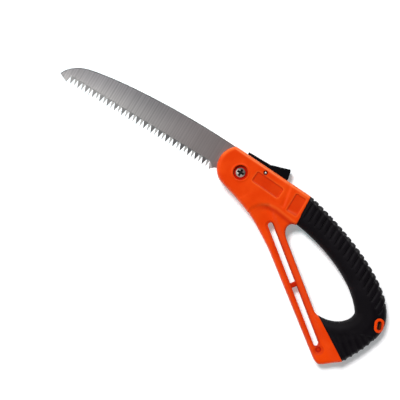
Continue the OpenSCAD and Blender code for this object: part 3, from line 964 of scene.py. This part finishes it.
def makePivotNut():
    look = nutLook
    block = Block((-6.6, -6.6, -7.2), (6.6, 6.6, 10.9), look["step"])
    z, reach = block.z, block.ring((0, 0))[..., None]
    nut = roundTop(reach - look["headRadius"], z - look["headTop"], look["headRound"])
    nut = np.maximum(nut, look["headLow"] - z)
    nut = np.minimum(nut, shank(block, look["barrel"], *look["barrelEnds"]))
    nut = cut(nut, reach - look["bore"] + 0 * z, 0.3)
    slot = np.abs(block.y)[..., None] - look["slot"]
    nut = cut(nut, np.maximum(slot, look["slotFloor"] - z), 0.15)
    fit(block.mesh("pivotNut", nut, False), bright, "handle", "pivot_nut")


def makeLockPin():
    look = pinLook
    block = Block((20.5, 11.4, -9.6), (24.5, 15.4, 11.4), look["step"])
    reach = block.ring(lockAt)
    pin = roundTop(reach[..., None] - look["radius"], block.z - look["top"], look["round"])
    pin = meet(pin, look["low"] - block.z, 0.3)
    # Painted shade round the pin's rim
    piece = block.mesh("lockPin", pin, recess=ease(reach, 0.8, 1.2))
    fit(piece, bright, "handle", "lock_pin")


def makeShellScrews():
    look = shellScrewLook
    for number, place in enumerate(joinAt, 1):
        block = Block((-3.5, -3.5, -8), (3.5, 3.5, 8.6), look["step"])
        z, reach = block.z, block.ring((0, 0))[..., None]
        dome = z - look["headTop"] + look["dome"] * reach**2
        screw = roundTop(reach - look["headRadius"], dome, look["headRound"])
        screw = np.maximum(screw, look["headLow"] - z)
        screw = cut(screw, cross(block, *look["cross"]), 0.15)
        screw = np.minimum(screw, shank(block, look["shank"], *look["shankEnds"]))
        piece = block.mesh(f"shellScrew{number}", screw, False)
        piece.data.transform(Matrix.Translation((place[0] * mm, place[1] * mm, 0)))
        fit(piece, bright, "handle", "shell_screws")


makePivotScrew()
makePivotNut()
makeLockPin()
makeShellScrews()

leverShape = {
    "step": 0.3,
    "half": 3.95,
    "round": 0.8,
    "boss": 4.55,  # round the lock pin
    "bore": 1.58,
    "under": [(-3.2, 15.85), (1.6, 15.85), (2.2, 17.8), (30, 17.8), (31, 17.5), (46, 17.5), (46.5, 20.6)],
    "pad": [(45.2, 26.5), (43.9, 30.1), (43.2, 30.4), (35, 27.6), (27, 25.2), (25.4, 24.6), (23.3, 23.7)],
    "strip": [(-3.2, 23.4)],
}


def makeLever():
    look = leverShape
    block = Block((-4.5, 7.5, -4.8), (47.8, 31.8, 4.8), look["step"])
    outline = look["under"] + look["pad"] + look["strip"]
    flat = join(block.outline(outline), block.ring(lockAt) - look["boss"], 0.8)
    lever = roundTop(flat[..., None], np.abs(block.z) - look["half"], look["round"])
    lever = cut(lever, block.ring(lockAt)[..., None] - look["bore"] + 0 * block.z, 0.2)
    fit(block.mesh("lockLever", lever), leverBlack, "lock", "lock_lever")


makeLever()

springLook = {"turns": 5, "coil": 2.55, "wire": 0.42, "low": 8.05, "high": 16.95}


def makeSpring():
    look = springLook
    around, sides = 32, 10  # points along one turn and round the wire
    steps = look["turns"] * around
    places, faces = [], []
    up = np.array((0, 1, 0))
    for i in range(steps + 1):
        a = 2 * math.pi * i / around
        out = np.array((math.cos(a), 0, math.sin(a)))
        rise = look["low"] + (look["high"] - look["low"]) * i / steps
        centre = np.array((springAt, rise, handle["mid"])) + look["coil"] * out
        for k in range(sides):
            b = 2 * math.pi * k / sides
            places.append(centre + look["wire"] * (math.cos(b) * out + math.sin(b) * up))
    for i in range(steps):
        for k in range(sides):
            a, b = i * sides + k, i * sides + (k + 1) % sides
            faces.append((a, b, b + sides, a + sides))
    faces += [tuple(range(sides))[::-1], tuple(range(steps * sides, (steps + 1) * sides))]
    piece = newPiece("lockSpring", places, faces)
    piece.data.polygons.foreach_set("use_smooth", np.ones(len(faces), bool))
    fit(piece, bright, None, "lock_spring")
    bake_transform(piece)  # bakes its place into the mesh


makeSpring()

for node in ("pivot_bush", "front_washer", "back_washer", "stop_pin"):  # plain turned parts stay as they are
    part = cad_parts[node]
    part.data.materials.clear()
    part.data.materials.append(bright.material)
print("pieces made")

stageLook = {
    "centre": (-21.2, -46.6),  # what the middle of the picture shows
    "roll": 31.5,
    "span": 420.0,  # width of the picture at the height of the handle's face
    "lens": 100.0,
    "sensor": 36.0,
    "faceHeight": 18.0,
    "floorDrop": 0.2,
}
skyLook = {"zenith": 0.06, "rim": 0.20, "tipSide": 0.12}
floorLook = {
    "main": (0.84, 0.83, 0.84, 1),
    "glow": 0.27,  # keeps the shadow from going black
    "byOrange": (0.80, 1.08, 1.11, 1),  # evens out the orange light that the handle throws on the floor
    "byBlack": (0.96, 1.0, 1.02, 1),
    "line": (0.721, 0.693),  # across the line through the grip's two seams
    "change": (0.053, 0.069),  # where one turns into the other
    "reach": 20.0,
}
keyLook = {"power": 3.0, "soft": 14.0, "right": -0.26, "up": 0.45}
softboxes = {
    "topStrip": {"right": 0.42, "up": 0.68, "height": 0.5, "size": (0.6, 0.2), "power": 4.4},
    "tipSoftbox": {"right": -0.36, "up": 0.17, "height": 0.7, "size": (0.22, 0.3), "power": 0.68},
}
roll = math.radians(stageLook["roll"])
pictureRight = Vector((math.cos(roll), math.sin(roll), 0))
pictureUp = Vector((-math.sin(roll), math.cos(roll), 0))
pictureCentre = Vector((stageLook["centre"][0] * mm, stageLook["centre"][1] * mm, 0))


def makeCamera():
    look = stageLook
    data = bpy.data.cameras.new("camera")
    data.lens, data.sensor_width = look["lens"], look["sensor"]
    camera = newObject("camera", data)
    height = look["span"] * look["lens"] / look["sensor"] + look["faceHeight"]
    camera.location = pictureCentre + Vector((0, 0, height * mm))
    camera.rotation_euler = (0, 0, roll)
    bpy.context.scene.camera = camera


def aimAt(light, toward):
    light.rotation_euler = toward.to_track_quat("-Z", "Y").to_euler()


def makeSoftbox(name, right, up, height, size, power):
    data = bpy.data.lights.new(name, "AREA")
    data.shape, data.size, data.size_y, data.energy = "RECTANGLE", size[0], size[1], power
    light = newObject(name, data)
    light.location = pictureCentre + right * pictureRight + up * pictureUp + Vector((0, 0, height))
    aimAt(light, pictureCentre + Vector((0, 0, handle["mid"] * mm)) - light.location)
    light.visible_camera = light.visible_diffuse = False  # gloss only


def makeKeyLight():  # even light from the picture's top, left out of the mirror images
    data = bpy.data.lights.new("keyLight", "SUN")
    data.energy, data.angle = keyLook["power"], math.radians(keyLook["soft"])
    light = newObject("keyLight", data)
    aimAt(light, -(keyLook["right"] * pictureRight + keyLook["up"] * pictureUp + Vector((0, 0, 1))))
    light.visible_glossy = False


def makeFloor():
    look = floorLook
    level = -stageLook["floorDrop"] * mm
    data = bpy.data.meshes.new("floor")
    corners = [(x * look["reach"], y * look["reach"], level) for x, y in ((-1, -1), (1, -1), (1, 1), (-1, 1))]
    data.from_pydata(corners, [], [(0, 1, 2, 3)])
    floor = newObject("floor", data)
    matt = {"Roughness": 0.9, "Specular IOR Level": 0.0, "Emission Strength": look["glow"]}
    finish = Finish("whiteFloor", matt)
    past = look["line"][0] * finish.axis("X") + look["line"][1] * finish.axis("Y")
    glow = finish.blend(finish.span(past, *look["change"]), look["byOrange"], look["byBlack"])
    finish.surface(Base_Color=look["main"], Emission_Color=glow)
    data.materials.append(finish.material)


def makeSky():
    world = bpy.data.worlds.new("studio")
    bpy.context.scene.world = world
    world.use_nodes = True
    sky = Graph(world.node_tree)
    toward = sky.node("ShaderNodeTexCoord", {}, {}, "Generated")
    height = sky.node("ShaderNodeSeparateXYZ", {}, {0: toward}, 2)
    dot = {"operation": "DOT_PRODUCT"}
    tipward = sky.node("ShaderNodeVectorMath", dot, {0: toward, 1: -pictureRight}, 1)
    level = skyLook["zenith"] + sky.span(height, 0.9, 0.2, 0.0, skyLook["rim"])
    level = level + sky.span(tipward, -0.1, 0.5, 0.0, skyLook["tipSide"])
    # A white backdrop all round, for the camera and in mirror images
    kinds = ("Is Camera Ray", "Is Glossy Ray", "Is Transmission Ray")
    rays = [sky.node("ShaderNodeLightPath", {}, {}, kind) for kind in kinds]
    seen = sky.node("ShaderNodeClamp", {}, {0: rays[0] + rays[1] + rays[2]})
    white = seen * sky.span(height, 0.42, 0.18)
    back = world.node_tree.nodes["Background"]
    back.inputs["Color"].default_value = (1, 1, 1, 1)
    sky.feed(back.inputs["Strength"], level + white * (1.0 - level))


makeCamera()
makeFloor()
makeSky()
makeKeyLight()
for name, look in softboxes.items():
    makeSoftbox(name, **look)
bpy.context.scene.view_settings.view_transform = "Standard"
print("stage made")
